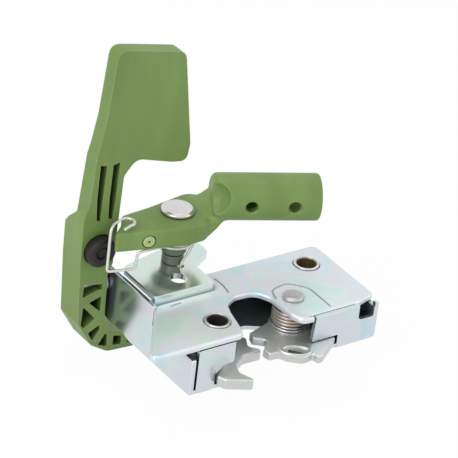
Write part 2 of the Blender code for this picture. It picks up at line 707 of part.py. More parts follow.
# Arm: a moulded bell crank whose flat end turns on the rivet and rises to a tube
def make_arm():
    top = ARM_BOTTOM + ARM_T
    outline = rounded([
        (-25.5 * MM, 36.4 * MM, 1.2 * MM),
        (2.6 * MM, 28.6 * MM, 8 * MM),
        (13 * MM, 28.8 * MM, 6 * MM),
        (24 * MM, 33.5 * MM, 6 * MM),
        (25 * MM, 50 * MM, 5 * MM),
        (16.5 * MM, 52.8 * MM, 8 * MM),
        (-2.4 * MM, 49.6 * MM, 10 * MM),
        (-16.5 * MM, 45.4 * MM, 2 * MM),
    ])
    arm = plate("swing_arm", [outline], ARM_BOTTOM, top, GREEN)
    tube_turn = at(TUBE_X, TUBE_Y, TUBE_Z) @ Matrix.Rotation(radians(TUBE_ANGLE), 4, "Z")
    along = tube_turn @ Matrix.Rotation(radians(90), 4, "Y")
    # The neck lofts from the flat end's section up to the round of the tube
    work = bmesh.new()
    rings = []
    stations = 8
    sides = 24
    for i in range(stations + 1):
        t = i / stations
        ease = t * t * (3 - 2 * t)
        x = 12.5 * MM + (TUBE_X + 2 * MM - 12.5 * MM) * t
        y = 39.6 * MM + (TUBE_Y - 0.9 * MM - 39.6 * MM) * ease
        z = ARM_BOTTOM + ARM_T / 2 + (TUBE_Z - ARM_BOTTOM - ARM_T / 2) * ease
        half_w = 9.8 * MM + (TUBE_D / 2 - 9.8 * MM) * ease
        half_h = ARM_T / 2 - 0.2 * MM + (TUBE_D / 2 - ARM_T / 2 + 0.2 * MM) * ease
        power = 0.45 + 0.55 * ease
        turn = radians(TUBE_ANGLE) * ease
        ring = []
        for k in range(sides):
            angle = 2 * pi * (k + 0.5) / sides
            c, s = cos(angle), sin(angle)
            w = half_w * abs(c) ** power * (1 if c > 0 else -1)
            h = half_h * abs(s) ** power * (1 if s > 0 else -1)
            ring.append(work.verts.new((x - w * sin(turn), y + w * cos(turn), z + h)))
        rings.append(ring)
    for first, second in zip(rings, rings[1:]):
        for k in range(sides):
            after = (k + 1) % sides
            work.faces.new((first[k], first[after], second[after], second[k]))
    work.faces.new(rings[0])
    work.faces.new(rings[-1])
    bmesh.ops.recalc_face_normals(work, faces=work.faces)
    neck = bpy.data.meshes.new("neck")
    work.to_mesh(neck)
    work.free()
    join(arm, "arm_neck", neck)
    join(arm, "arm_tube", drum_mesh(TUBE_D / 2, 0, TUBE_LENGTH, along))
    cut(arm, "tube_bore", drum_mesh(TUBE_BORE / 2, 5 * MM, TUBE_LENGTH + MM, along))
    for i, place in enumerate((CROSS_HOLE_1, CROSS_HOLE_2)):
        across = tube_turn @ at(place, 0) @ Matrix.Rotation(radians(90), 4, "X")
        cut(arm, "cross_hole_%d" % (i + 1), drum_mesh(CROSS_HOLE_D / 2, -TUBE_D, TUBE_D, across, 20))
    pivot = drum_mesh(ARM_SHANK_D / 2 + GAP, ARM_BOTTOM - MM, top + MM, at(PIVOT_X, PIVOT_Y))
    cut(arm, "arm_bore", pivot)
    cut(arm, "plug_seat", drum_mesh(2.8 * MM + GAP, -MM, 5 * MM, plug_matrix(), 24))
    arm_plug = [
        (0, 0.9 * MM),
        (1.9 * MM, 0.9 * MM),
        (2.8 * MM, 0.2 * MM),
        (2.8 * MM, -4.4 * MM),
        (0, -4.4 * MM),
    ]
    spin = plug_matrix() @ Matrix.Rotation(pi, 4, "X")
    turned("arm_plug", arm_plug, 0, 0, LIME, spin, 24)
    return arm


def plug_matrix():
    # The plug sits square in the arm's slanted front face, its local Z running inward
    run_x, run_y = 28.1, -7.8
    turn = Matrix.Rotation(-acos(run_x / hypot(run_x, run_y)), 4, "Z")
    return at(-13.4 * MM, 33.05 * MM, 22.0 * MM) @ turn @ Matrix.Rotation(radians(-90), 4, "X")


# Paddle: the moulded pull lever, ribbed below and broad above
def make_paddle():
    front, back = PADDLE_FRONT, PADDLE_FRONT + PADDLE_DEPTH
    outline = rounded([
        (-34.2 * MM, -20 * MM, 2 * MM),
        (-26.9 * MM, -32 * MM, 3 * MM),
        (-18.5 * MM, -37.2 * MM, 6 * MM),
        (-4.5 * MM, -38 * MM, 2 * MM),
        (-1.5 * MM, -31.5 * MM, 2 * MM),
        (-18.2 * MM, -27.2 * MM, 5 * MM),
        (-21.4 * MM, -20 * MM, 4 * MM),
        (-22 * MM, 2 * MM, 3 * MM),
        (-20 * MM, 5.5 * MM, 3 * MM),
        (-19.2 * MM, 30 * MM, 0),
        (-18.8 * MM, 46 * MM, 4 * MM),
        (-13.6 * MM, 52.6 * MM, 5 * MM),
        (3.5 * MM, 47.4 * MM, 3 * MM),
        (11.2 * MM, 46 * MM, 5 * MM),
        (12 * MM, 54 * MM, 5 * MM),
        (4.6 * MM, 97 * MM, 5 * MM),
        (-29.4 * MM, BLADE_TOP, 4 * MM),
        (-30.6 * MM, 74 * MM, 0),
        (-33 * MM, 56 * MM, 6 * MM),
        (-33.8 * MM, 37 * MM, 2 * MM),
        (-36.2 * MM, 30 * MM, 4 * MM),
        (-35.8 * MM, 8 * MM, 3 * MM),
    ])
    paddle = add_object("paddle", upright_mesh([outline], front, back), GREEN)
    # The side view: deep at the foot, thinner up the column and thinnest at the blade
    side = rounded([
        (front - MM, -45 * MM, 0),
        (back + MM, -45 * MM, 0),
        (back + MM, -41 * MM, 0),
        (back, -36 * MM, 2 * MM),
        (back, 22 * MM, 6 * MM),
        (front + COLUMN_DEPTH, 37 * MM, 6 * MM),
        (front + BLADE_DEPTH, 62 * MM, 8 * MM),
        (front + BLADE_DEPTH, BLADE_TOP + 3 * MM, 0),
        (front - MM, BLADE_TOP + 3 * MM, 0),
    ])
    modify(paddle, guide("side_view", plate_mesh([side], -60 * MM, 40 * MM, SIDEWAYS)), "INTERSECT")
    pockets = {
        "pocket_top": [(-33.0, -1.7), (-23.9, -3.2), (-23.9, -5.8), (-26.0, -5.8), (-33.2, -7.8)],
        "pocket_upper": [(-29.9, -10.8), (-23.8, -9.0), (-23.8, -16.7)],
        "pocket_middle": [(-32.4, -12.0), (-25.8, -19.5), (-31.4, -22.9), (-32.8, -20.8)],
        "pocket_lower": [(-28.9, -25.7), (-23.3, -22.9), (-23.1, -25.3), (-26.4, -30.2)],
        "pocket_corner": [(-23.4, -33.0), (-20.4, -28.3), (-19.2, -28.6), (-18.8, -34.7)],
        "pocket_foot": [(-16.0, -30.3), (-11.8, -31.3), (-11.8, -35.4), (-16.0, -35.0)],
        "pocket_toe": [(-9.0, -32.2), (-4.6, -33.2), (-5.8, -35.8), (-9.0, -35.6)],
    }
    for name, corners in pockets.items():
        loop = rounded([(x * MM, z * MM, 0.5 * MM) for x, z in corners], 2)
        cut(paddle, name, upright_mesh([loop], front - MM, front + POCKET_DEPTH))
    slots = {
        "slot_left": [(-30.7, 53.4), (-27.5, 52.6), (-27.9, 37.5), (-28.2, 27.3), (-30.0, 27.8), (-30.7, 38.2)],
        "slot_right": [(-24.5, 52.3), (-21.4, 53.0), (-21.6, 36), (-22.4, 26.9), (-24.4, 27.5), (-24.8, 36.7)],
    }
    for name, corners in slots.items():
        loop = [(x * MM, z * MM) for x, z in corners]
        cut(paddle, name, upright_mesh([loop], front - MM, front + SLOT_DEPTH))
    seat = at(PLUG_X, 0, PLUG_Z) @ UPRIGHT
    cut(paddle, "bumper_seat", drum_mesh(PLUG_D / 2 + GAP, -front - PLUG_SEAT, MM - front, seat))
    pin_turn = at(0, PIN_Y, PIN_Z) @ Matrix.Rotation(radians(90), 4, "Y")
    cut(paddle, "pin_bore", drum_mesh(PIN_D / 2 + GAP, -33 * MM, -15 * MM, pin_turn, 24))
    return paddle


# Bumper: a black rubber plug in the paddle's face that pushes the arm, on its own screw
def make_bumper():
    radius = PLUG_D / 2
    outer, inner = PLUG_PROUD, -PLUG_SEAT + GAP
    core = 2.2 * MM
    profile = [
        (core + GAP, outer - 1 * MM),
        (core + 1.6 * MM, outer),
        (radius - 1.2 * MM, outer),
        (radius, outer - 1.2 * MM),
        (radius, inner),
        (core + GAP, inner),
    ]
    face = at(PLUG_X, PADDLE_FRONT, PLUG_Z) @ UPRIGHT
    turned("bumper_plug", profile, 0, 0, BLACK, face, 28)
    profile = [(0, outer - 1.2 * MM), (core, outer - 1.2 * MM), (core, inner), (0, inner)]
    turned("bumper_screw", profile, 0, 0, BLACK, face, 20)


# Paddle pin: a headed pin through the wall, held by a push-on clip
def make_paddle_pin():
    radius = PIN_D / 2
    wall_in = WALL_X + TRAY_T
    head_low = wall_in + GAP
    profile = [
        (0, head_low + 1.6 * MM),
        (radius + 1.2 * MM, head_low + 1.6 * MM),
        (radius + 1.8 * MM, head_low + 1.0 * MM),
        (radius + 1.8 * MM, head_low),
        (radius, head_low),
        (radius, -32.4 * MM),
        (0, -32.4 * MM),
    ]
    turned("paddle_pin", profile, 0, 0, BRIGHT, at(0, PIN_Y, PIN_Z) @ Matrix.Rotation(radians(90), 4, "Y"), 24)
    inner = radius + GAP
    high = WALL_X - GAP
    profile = [(inner, high), (inner + 2 * MM, high), (inner + 2 * MM, high - 1.6 * MM), (inner, high - 1.6 * MM)]
    turned("pin_washer", profile, 0, 0, BRIGHT, at(0, PIN_Y, PIN_Z) @ Matrix.Rotation(radians(90), 4, "Y"), 24)


make_cover()
make_tray()
make_bracket()
make_bush("front_bush", 0, 0, TRAY_DEPTH)
make_bush("rear_bush", REAR_X, REAR_Y, SHALLOW_DEPTH)
make_rotor_rivet()
make_claw()
make_rotor()
make_rotor_stack()
make_claw_stack()
make_pawl()
make_arm_rivet()
make_arm_spring()
make_arm()
make_paddle()
make_bumper()
make_paddle_pin()
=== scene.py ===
import bmesh
import bpy
from math import acos, cos, pi, radians, sin, tan
from mathutils import Matrix, Vector


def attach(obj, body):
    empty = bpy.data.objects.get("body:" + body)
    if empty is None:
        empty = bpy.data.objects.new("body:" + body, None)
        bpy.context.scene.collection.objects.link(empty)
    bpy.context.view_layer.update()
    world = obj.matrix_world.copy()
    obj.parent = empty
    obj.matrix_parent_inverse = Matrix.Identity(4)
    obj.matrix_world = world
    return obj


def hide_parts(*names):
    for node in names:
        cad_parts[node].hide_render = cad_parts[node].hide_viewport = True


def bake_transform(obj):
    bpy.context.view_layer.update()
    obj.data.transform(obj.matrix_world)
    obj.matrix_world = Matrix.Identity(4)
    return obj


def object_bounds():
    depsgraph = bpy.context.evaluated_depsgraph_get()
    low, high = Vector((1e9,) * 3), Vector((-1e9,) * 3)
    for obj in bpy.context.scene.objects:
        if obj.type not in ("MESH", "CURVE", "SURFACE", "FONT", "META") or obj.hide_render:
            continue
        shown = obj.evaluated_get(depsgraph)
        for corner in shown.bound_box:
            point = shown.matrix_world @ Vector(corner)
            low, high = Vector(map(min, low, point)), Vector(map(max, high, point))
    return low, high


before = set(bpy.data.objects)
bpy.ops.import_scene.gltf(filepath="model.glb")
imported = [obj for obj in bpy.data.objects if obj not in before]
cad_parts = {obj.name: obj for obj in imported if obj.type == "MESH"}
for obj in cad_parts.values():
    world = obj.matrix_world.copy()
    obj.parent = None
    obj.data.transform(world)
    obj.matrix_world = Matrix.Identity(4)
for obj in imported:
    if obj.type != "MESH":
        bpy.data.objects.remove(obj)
cad_low, cad_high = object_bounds()

# The camera looks down on the latch from its front left, slightly rolled, as in the photograph.
# A long lens keeps the plates' edges nearly parallel, and its distance sets the picture's scale.
MM = 0.001
scene = bpy.context.scene
scene.view_settings.view_transform = "Standard"
view_azimuth, view_elevation, view_roll = radians(-37.99), radians(30.44), radians(7.07)
lens_mm = 250
sensor_mm = 36
pixels_per_metre = 2499
frame_pixels = 458
toward = Vector((sin(view_azimuth), -cos(view_azimuth), tan(view_elevation))) * cos(view_elevation)
level = Vector((cos(view_azimuth), sin(view_azimuth), 0))
rise = toward.cross(level)
across = level * cos(view_roll) + rise * sin(view_roll)
upward = rise * cos(view_roll) - level * sin(view_roll)
aim = Vector((10, 15, 15)) * MM + across * 3.31 * MM + upward * 14.52 * MM
distance = frame_pixels * lens_mm / sensor_mm / pixels_per_metre
camera_data = bpy.data.cameras.new("camera")
camera_data.lens = lens_mm
camera_data.clip_end = 20
camera = bpy.data.objects.new("camera", camera_data)
scene.collection.objects.link(camera)
facing = Matrix((across, upward, toward)).transposed().to_4x4()
camera.matrix_world = Matrix.Translation(aim + toward * distance) @ facing
scene.camera = camera


# The room is a white table under a white sky, with a broad lamp on the left, a weaker one
# on the right and one from above. Metal sees the same white that the camera does.
def new_material(name):
    material = bpy.data.materials.new(name)
    material.use_nodes = True
    material.node_tree.nodes.clear()
    return material, material.node_tree


def feed(tree, socket, value):
    if isinstance(value, bpy.types.NodeSocket):
        tree.links.new(value, socket)
    else:
        socket.default_value = value


def maths(tree, operation, first, second, clamp=False):
    node = tree.nodes.new("ShaderNodeMath")
    node.operation = operation
    node.use_clamp = clamp
    feed(tree, node.inputs[0], first)
    feed(tree, node.inputs[1], second)
    return node.outputs[0]


def sees_white(tree):
    path = tree.nodes.new("ShaderNodeLightPath")
    direct = maths(tree, "ADD", path.outputs["Is Camera Ray"], path.outputs["Is Glossy Ray"])
    return maths(tree, "ADD", direct, path.outputs["Is Transmission Ray"], True)


world = bpy.data.worlds.new("white_sky")
scene.world = world
world.use_nodes = True
sky = world.node_tree
sky.nodes.clear()
skylight = sky.nodes.new("ShaderNodeBackground")
skylight.inputs["Strength"].default_value = 0.52
backdrop = sky.nodes.new("ShaderNodeBackground")
backdrop.inputs["Strength"].default_value = 1.0
for background in (skylight, backdrop):
    background.inputs["Color"].default_value = (1, 1, 1, 1)
sky_mix = sky.nodes.new("ShaderNodeMixShader")
sky_out = sky.nodes.new("ShaderNodeOutputWorld")
sky.links.new(sees_white(sky), sky_mix.inputs["Fac"])
sky.links.new(skylight.outputs[0], sky_mix.inputs[1])
sky.links.new(backdrop.outputs[0], sky_mix.inputs[2])
sky.links.new(sky_mix.outputs[0], sky_out.inputs["Surface"])

table_half = 4.0
corners = [(-table_half, -table_half, 0), (table_half, -table_half, 0)]
corners += [(table_half, table_half, 0), (-table_half, table_half, 0)]
table_mesh = bpy.data.meshes.new("table_top")
table_mesh.from_pydata(corners, [], [(0, 1, 2, 3)])
table = bpy.data.objects.new("table_top", table_mesh)
scene.collection.objects.link(table)
table.location.z = cad_low.z - 0.4 * MM
table_white, tree = new_material("table_white")
matt = tree.nodes.new("ShaderNodeBsdfDiffuse")
matt.inputs["Color"].default_value = (0.98, 0.98, 0.98, 1)
glow = tree.nodes.new("ShaderNodeEmission")
glow.inputs["Color"].default_value = (1, 1, 1, 1)
glow_share = maths(tree, "MULTIPLY", sees_white(tree), 0.96)
blend = tree.nodes.new("ShaderNodeMixShader")
surface = tree.nodes.new("ShaderNodeOutputMaterial")
tree.links.new(glow_share, blend.inputs["Fac"])
tree.links.new(matt.outputs[0], blend.inputs[1])
tree.links.new(glow.outputs[0], blend.inputs[2])
tree.links.new(blend.outputs[0], surface.inputs["Surface"])
table_mesh.materials.append(table_white)

middle = (cad_low + cad_high) / 2
for lamp_name, place, size, power in (
    ("left_lamp", (-0.62, -0.22, 0.42), 0.5, 2.6),
    ("right_lamp", (0.6, -0.5, 0.35), 0.5, 1.0),
    ("top_lamp", (0.05, 0.25, 0.75), 0.5, 1.2),
):
    lamp_data = bpy.data.lights.new(lamp_name, "AREA")
    lamp_data.size = size
    lamp_data.energy = power
    lamp = bpy.data.objects.new(lamp_name, lamp_data)
    scene.collection.objects.link(lamp)
    lamp.location = middle + Vector(place)
    lamp.rotation_euler = (middle - lamp.location).to_track_quat("-Z", "Y").to_euler()


# Lower tray: sheet steel pressed and folded into the bottom half of the case, then zinc plated.
# Its left wall stands high at the back, where it carries the paddle's pin, and a slit is left
# between that wall and the front flange.
def effect_group(name, inputs, outputs):
    tree = bpy.data.node_groups.new(name, "ShaderNodeTree")
    for label, kind, value in inputs:
        socket = tree.interface.new_socket(name=label, in_out="INPUT", socket_type=kind)
        socket.default_value = value
    for label, kind in outputs:
        tree.interface.new_socket(name=label, in_out="OUTPUT", socket_type=kind)
    return tree, tree.nodes.new("NodeGroupInput"), tree.nodes.new("NodeGroupOutput")


def noise(tree, vector, scale, detail=2.0, distortion=0.0):
    node = tree.nodes.new("ShaderNodeTexNoise")
    tree.links.new(vector, node.inputs["Vector"])
    feed(tree, node.inputs["Scale"], scale)
    node.inputs["Detail"].default_value = detail
    node.inputs["Distortion"].default_value = distortion
    return node.outputs["Fac"]


def ramp(tree, factor, stops):
    node = tree.nodes.new("ShaderNodeValToRGB")
    first, last = node.color_ramp.elements
    first.position, first.color = stops[0][0], (*stops[0][1], 1)
    last.position, last.color = stops[-1][0], (*stops[-1][1], 1)
    for position, colour in stops[1:-1]:
        node.color_ramp.elements.new(position).color = (*colour, 1)
    tree.links.new(factor, node.inputs["Fac"])
    return node.outputs["Color"]


def blend_colour(tree, factor, first, second, kind="MIX"):
    node = tree.nodes.new("ShaderNodeMix")
    node.data_type = "RGBA"
    node.blend_type = kind
    for socket, value in ((node.inputs[0], factor), (node.inputs[6], first), (node.inputs[7], second)):
        feed(tree, socket, value)
    return node.outputs[2]


# The passivated film on zinc has broad patches of faint blue, rose and green over the base
# colour, and a fine mottle in the gloss
film, taken, given = effect_group(
    "zinc_film",
    [("Base", "NodeSocketColor", (0.8, 0.8, 0.8, 1)), ("Tint", "NodeSocketFloat", 0.5),
     ("Patches", "NodeSocketFloat", 60.0), ("Gloss", "NodeSocketFloat", 0.3)],
    [("Colour", "NodeSocketColor"), ("Roughness", "NodeSocketFloat"), ("Height", "NodeSocketFloat")],
)
spot = film.nodes.new("ShaderNodeTexCoord").outputs["Object"]
tints = ramp(film, noise(film, spot, taken.outputs["Patches"], 2.0, 0.8), [
    (0.34, (0.80, 0.93, 1.0)),
    (0.43, (0.95, 0.95, 1.0)),
    (0.50, (1.0, 0.92, 0.96)),
    (0.57, (0.94, 1.0, 0.95)),
    (0.68, (0.84, 0.97, 0.93)),
])
tinted = blend_colour(film, 1.0, taken.outputs["Base"], tints, "MULTIPLY")
filmed = blend_colour(film, taken.outputs["Tint"], taken.outputs["Base"], tinted)
film.links.new(filmed, given.inputs["Colour"])
mottle = noise(film, spot, 700.0, 3.0)
dulling = maths(film, "MULTIPLY", mottle, 0.08)
film.links.new(maths(film, "ADD", taken.outputs["Gloss"], dulling), given.inputs["Roughness"])
film.links.new(mottle, given.inputs["Height"])

# Edges that are polished by handling and given a painted highlight: a mask that is one where the surface
# bends within Radius
edges, taken, given = effect_group(
    "edge_wear_and_highlight",
    [("Radius", "NodeSocketFloat", 0.0006), ("Strength", "NodeSocketFloat", 6.0)],
    [("Mask", "NodeSocketFloat")],
)
softened = edges.nodes.new("ShaderNodeBevel")
softened.samples = 4
edges.links.new(taken.outputs["Radius"], softened.inputs["Radius"])
true_normal = edges.nodes.new("ShaderNodeNewGeometry").outputs["Normal"]
alike = edges.nodes.new("ShaderNodeVectorMath")
alike.operation = "DOT_PRODUCT"
edges.links.new(softened.outputs["Normal"], alike.inputs[0])
edges.links.new(true_normal, alike.inputs[1])
bent = maths(edges, "SUBTRACT", 1.0, alike.outputs["Value"])
edges.links.new(maths(edges, "MULTIPLY", bent, taken.outputs["Strength"], True), given.inputs["Mask"])

# Painted shade darkens the places that are shut in: a mask that is nought there and one in the open
painted_shade_group, taken, given = effect_group(
    "painted_recess_shade", [("Distance", "NodeSocketFloat", 0.01)], [("Mask", "NodeSocketFloat")],
)
shelter = painted_shade_group.nodes.new("ShaderNodeAmbientOcclusion")
shelter.samples = 6
painted_shade_group.links.new(taken.outputs["Distance"], shelter.inputs["Distance"])
opened = maths(painted_shade_group, "MULTIPLY", shelter.outputs["AO"], 1.6)
painted_shade_group.links.new(maths(painted_shade_group, "SUBTRACT", opened, 0.2, True), given.inputs["Mask"])


def use_group(tree, group, values):
    node = tree.nodes.new("ShaderNodeGroup")
    node.node_tree = group
    for label, value in values.items():
        node.inputs[label].default_value = value
    return node


def finish_with(tree, colour, roughness, height, bump):
    shader = tree.nodes.new("ShaderNodeBsdfPrincipled")
    out = tree.nodes.new("ShaderNodeOutputMaterial")
    raised = tree.nodes.new("ShaderNodeBump")
    raised.inputs["Strength"].default_value = bump
    raised.inputs["Distance"].default_value = 0.0001
    tree.links.new(height, raised.inputs["Height"])
    tree.links.new(raised.outputs["Normal"], shader.inputs["Normal"])
    tree.links.new(colour, shader.inputs["Base Color"])
    tree.links.new(roughness, shader.inputs["Roughness"])
    tree.links.new(shader.outputs[0], out.inputs["Surface"])
    return shader


def painted_shade(tree, colour, distance, depth):
    # Painted shade: deep places keep only this share of their colour
    shade = use_group(tree, painted_shade_group, {"Distance": distance})
    dark = blend_colour(tree, 1.0, colour, (depth, depth, depth, 1), "MULTIPLY")
    return blend_colour(tree, shade.outputs["Mask"], dark, colour)


def plated(name, base, edge, tint=0.9, patches=42.0, gloss=0.2, metallic=0.8, bump=0.05, shade_reach=0.0):
    # Without a colour for its edges, the piece has no lighter edges, which are wear and painted highlight
    material, tree = new_material(name)
    skin = use_group(tree, film, {"Base": (*base, 1), "Tint": tint, "Patches": patches, "Gloss": gloss})
    colour = skin.outputs["Colour"]
    if edge:
        edge_wear_light = use_group(tree, edges, {"Radius": 0.0006, "Strength": 4.0})
        colour = blend_colour(tree, edge_wear_light.outputs["Mask"], colour, (*edge, 1))
    # Painted shade darkens the deep places within this reach
    if shade_reach:
        colour = painted_shade(tree, colour, shade_reach, 0.16)
    shader = finish_with(tree, colour, skin.outputs["Roughness"], skin.outputs["Height"], bump)
    shader.inputs["Metallic"].default_value = metallic
    return material


def arc(x, y, radius, start, end, steps):
    points = []
    for i in range(steps + 1):
        angle = radians(start + (end - start) * i / steps)
        points.append((x + radius * cos(angle), y + radius * sin(angle)))
    return points


def circle(x, y, radius, sides=48):
    return arc(x, y, radius, 0, 360 - 360 / sides, sides - 1)


def rounded(corners, steps=7):
    # Each corner is x, y and its fillet radius, in millimetres
    points = []
    for i, (x, y, radius) in enumerate(corners):
        if radius == 0:
            points.append((x, y))
            continue
        before, after = corners[i - 1], corners[(i + 1) % len(corners)]
        a = Vector((before[0] - x, before[1] - y))
        b = Vector((after[0] - x, after[1] - y))
        opening = a.angle(b)
        reach = min(radius / tan(opening / 2), 0.48 * a.length, 0.48 * b.length)
        a.normalize()
        b.normalize()
        for k in range(steps + 1):
            t = k / steps
            spot = a * (1 - t) ** 2 * reach + b * t ** 2 * reach
            points.append((x + spot.x, y + spot.y))
    return points


def rolled_plate(loops, low, high, matrix=None):
    # A plate in millimetres whose rims are rolled over. Each loop is its points with the
    # radii of its top and bottom rims, the outline first and then its holes.
    rim_steps = 4
    work = bmesh.new()
    bottoms, tops = [], []
    for number, (loop, top_edge, low_edge) in enumerate(loops):
        count = len(loop)
        area = sum(loop[i - 1][0] * loop[i][1] - loop[i][0] * loop[i - 1][1] for i in range(count))
        if (area > 0) != (number == 0):
            loop = loop[::-1]
        inward = []
        for i in range(count):
            (last_x, last_y), (x, y), (next_x, next_y) = loop[i - 1], loop[i], loop[(i + 1) % count]
            a = Vector((x - last_x, y - last_y)).normalized()
            b = Vector((next_x - x, next_y - y)).normalized()
            inward.append(Vector((-a.y - b.y, a.x + b.x)) / max(0.5, 1 + a.dot(b)))
        sections = []
        for k in range(rim_steps + 1):
            turn = pi / 2 * k / rim_steps
            sections.append((low_edge * (1 - sin(turn)), low + low_edge * (1 - cos(turn))))
        for k in range(rim_steps + 1):
            turn = pi / 2 * k / rim_steps
            sections.append((top_edge * (1 - cos(turn)), high - top_edge * (1 - sin(turn))))
        rings = []
        for inset, height in sections:
            rings.append([
                work.verts.new((x + v.x * inset, y + v.y * inset, height)) for (x, y), v in zip(loop, inward)
            ])
        for under, over in zip(rings, rings[1:]):
            for i in range(count):
                j = (i + 1) % count
                work.faces.new((under[i], under[j], over[j], over[i]))
        for ring, rims in ((rings[0], bottoms), (rings[-1], tops)):
            for i in range(count):
                rims.append(work.edges.get((ring[i], ring[(i + 1) % count])))
    for rims in (bottoms, tops):
        bmesh.ops.triangle_fill(work, use_beauty=True, edges=rims)
    bmesh.ops.recalc_face_normals(work, faces=work.faces)
    bmesh.ops.scale(work, vec=(MM, MM, MM), verts=work.verts)
    mesh = bpy.data.meshes.new("plate")
    work.to_mesh(mesh)
    work.free()
    if matrix:
        mesh.transform(matrix)
    return mesh


# Edges that turn by more than this are shown sharp, and gentler ones are shaded round
sharp_turn = radians(40)


def add_piece(name, mesh, material, body, slot, *stands_for):
    # A piece that bends between two bodies has None for its body
    mesh.materials.clear()
    mesh.materials.append(material)
    mesh.shade_smooth()
    mesh.set_sharp_from_angle(angle=sharp_turn)
    piece = bpy.data.objects.new(name, mesh)
    scene.collection.objects.link(piece)
    if body:
        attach(piece, body)
    if stands_for:
        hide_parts(*stands_for)
    even = piece.modifiers.new("even", "WEIGHTED_NORMAL")
    even.keep_sharp = True
    return piece


def refined(node, material, body, slot, radius_at, steps=3, reshape=None):
    # A copy of the solid with its flat faces cleaned, its corners moved by reshape(corner) in
    # millimetres, and each edge rounded by radius_at(middle)
    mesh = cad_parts[node].data.copy()
    work = bmesh.new()
    work.from_mesh(mesh)
    bmesh.ops.remove_doubles(work, verts=work.verts, dist=0.000002)
    bmesh.ops.dissolve_limit(work, angle_limit=radians(1.5), verts=work.verts, edges=work.edges)
    if reshape:
        for vertex in work.verts:
            vertex.co = reshape(vertex.co / MM) * MM
    radii = {}
    for edge in work.edges:
        if len(edge.link_faces) == 2 and edge.calc_face_angle(0) > radians(32):
            middle = (edge.verts[0].co + edge.verts[1].co) / 2 / MM
            radii[edge.index] = radius_at(middle) if callable(radius_at) else radius_at
    widest = max(radii.values())
    weight = work.edges.layers.float.new("bevel_weight_edge")
    for edge in work.edges:
        edge[weight] = radii.get(edge.index, 0) / widest
    work.to_mesh(mesh)
    work.free()
    piece = add_piece(node + "_shape", mesh, material, body, slot, node)
    bevel = piece.modifiers.new("edges", "BEVEL")
    bevel.width = widest * MM
    bevel.segments = steps
    bevel.limit_method = "WEIGHT"
    bevel.use_clamp_overlap = True
    bevel.miter_outer = "MITER_ARC"
    piece.modifiers.move(1, 0)


def applied(piece):
    # Keeps what the modifiers make as the piece's own mesh
    bpy.context.view_layer.update()
    seen = piece.evaluated_get(bpy.context.evaluated_depsgraph_get())
    mesh = bpy.data.meshes.new_from_object(seen)
    piece.modifiers.clear()
    piece.data = mesh


def carved(piece, cutters, operation="DIFFERENCE"):
    # Cuts each mesh out of the piece, or joins it on, and then throws it away
    for mesh in cutters:
        tool = bpy.data.objects.new("tool", mesh)
        scene.collection.objects.link(tool)
        step = piece.modifiers.new("cut", "BOOLEAN")
        step.operation = operation
        step.solver = "EXACT"
        step.material_mode = "TRANSFER"
        step.object = tool
        piece.modifiers.move(len(piece.modifiers) - 1, 0)
        applied(piece)
        bpy.data.objects.remove(tool)
    piece.data.set_sharp_from_angle(angle=sharp_turn)
    even = piece.modifiers.new("even", "WEIGHTED_NORMAL")
    even.keep_sharp = True


def tray_edge(spot):
    # The folds are wide, and the cut edges only broken
    if spot.z < -22 and (spot.x < -18.5 or spot.y < -11.8):
        return 1.6
    if spot.x > 69.4 and spot.y < -14.4 and spot.z < -1:
        return 1.4
    return 0.4


zinc_base = (0.66, 0.72, 0.75)
# Edge colour for zinc: wear and painted highlight along the edges
zinc_edge_wear_light = (0.86, 0.88, 0.90)
# The case's zinc is darkened in its deep places: painted shade
case_zinc = plated("case_zinc", zinc_base, zinc_edge_wear_light, gloss=0.17, metallic=0.9, shade_reach=0.016)
refined("lower_tray", case_zinc, "case", "zinc", tray_edge)

# The high part of the wall reaches forward to the cover's slanted edge. It is drawn flat, and
# then stood up with its thickness along X.
wall_out, wall_in = -19.25, -17.35
sideways = Matrix(((0, 0, 1, 0), (1, 0, 0, 0), (0, 1, 0, 0), (0, 0, 0, 1)))
wall = rounded([
    (17.2, -20.6, 1), (46, -22.4, 3), (59.9, -19.6, 4), (59.9, 1.6, 3), (17.2, 1.6, 0.6), (17.2, -2, 0),
])
wall_mesh = rolled_plate([(wall, 0.6, 0.6)], wall_out, wall_in, sideways)
wall_skin = add_piece("left_wall", wall_mesh, case_zinc, "case", "zinc")
pin_y, pin_z, pin_hole_radius = 53.6, -6, 2.9
pin_hole = circle(pin_y, pin_z, pin_hole_radius, 24)
carved(wall_skin, [rolled_plate([(pin_hole, 0, 0)], wall_out - 1, wall_in + 1, sideways)])

# Cover plate: the thick pressed plate over the tray. The striker's throat is cut into its front
# edge, its left end is a slanted wing, and all its rims are rolled over by the press.
# The rim colour is wear and painted highlight along the rolled rims
cover_base, cover_rim_wear_light = (0.77, 0.84, 0.86), (0.90, 0.92, 0.94)
cover_zinc = plated("cover_zinc", cover_base, cover_rim_wear_light, tint=1.0, patches=34.0, gloss=0.3, metallic=0.36)
cover_outline = rounded([
    (-40.4, -12.4, 3), (4.6, -12.4, 3), (6.9, -6, 5), (9.3, 3.6, 5), (11.4, 9.2, 5), (17.4, 12.4, 6),
    (26.6, 11.8, 6), (30.0, 5.2, 5), (30.3, -8.6, 5), (32.2, -14.2, 4), (38.2, -14.6, 0.8),
    (38.2, -12.4, 0.3), (62, -12.4, 3), (71, -9.8, 2.5), (71, 32, 4), (13.2, 32, 2), (13.2, 20.2, 1),
    (-16.6, 20.2, 3.5),
])
rear_x, rear_y, bush_hole_radius = 58.8, 20.8, 5.75
rivet_x, rivet_y, rivet_hole_radius = 38.4, 1.6, 3.2
cover_thickness = 2.5
holes = [(circle(x, y, bush_hole_radius), 0.25, 0.2) for x, y in ((0, 0), (rear_x, rear_y))]
holes.append((circle(rivet_x, rivet_y, rivet_hole_radius, 24), 0.1, 0.1))
cover = rolled_plate([(cover_outline, 1.15, 0.5)] + holes, -cover_thickness, 0)
cover = add_piece("cover_shape", cover, cover_zinc, "case", "zinc", "cover_plate")


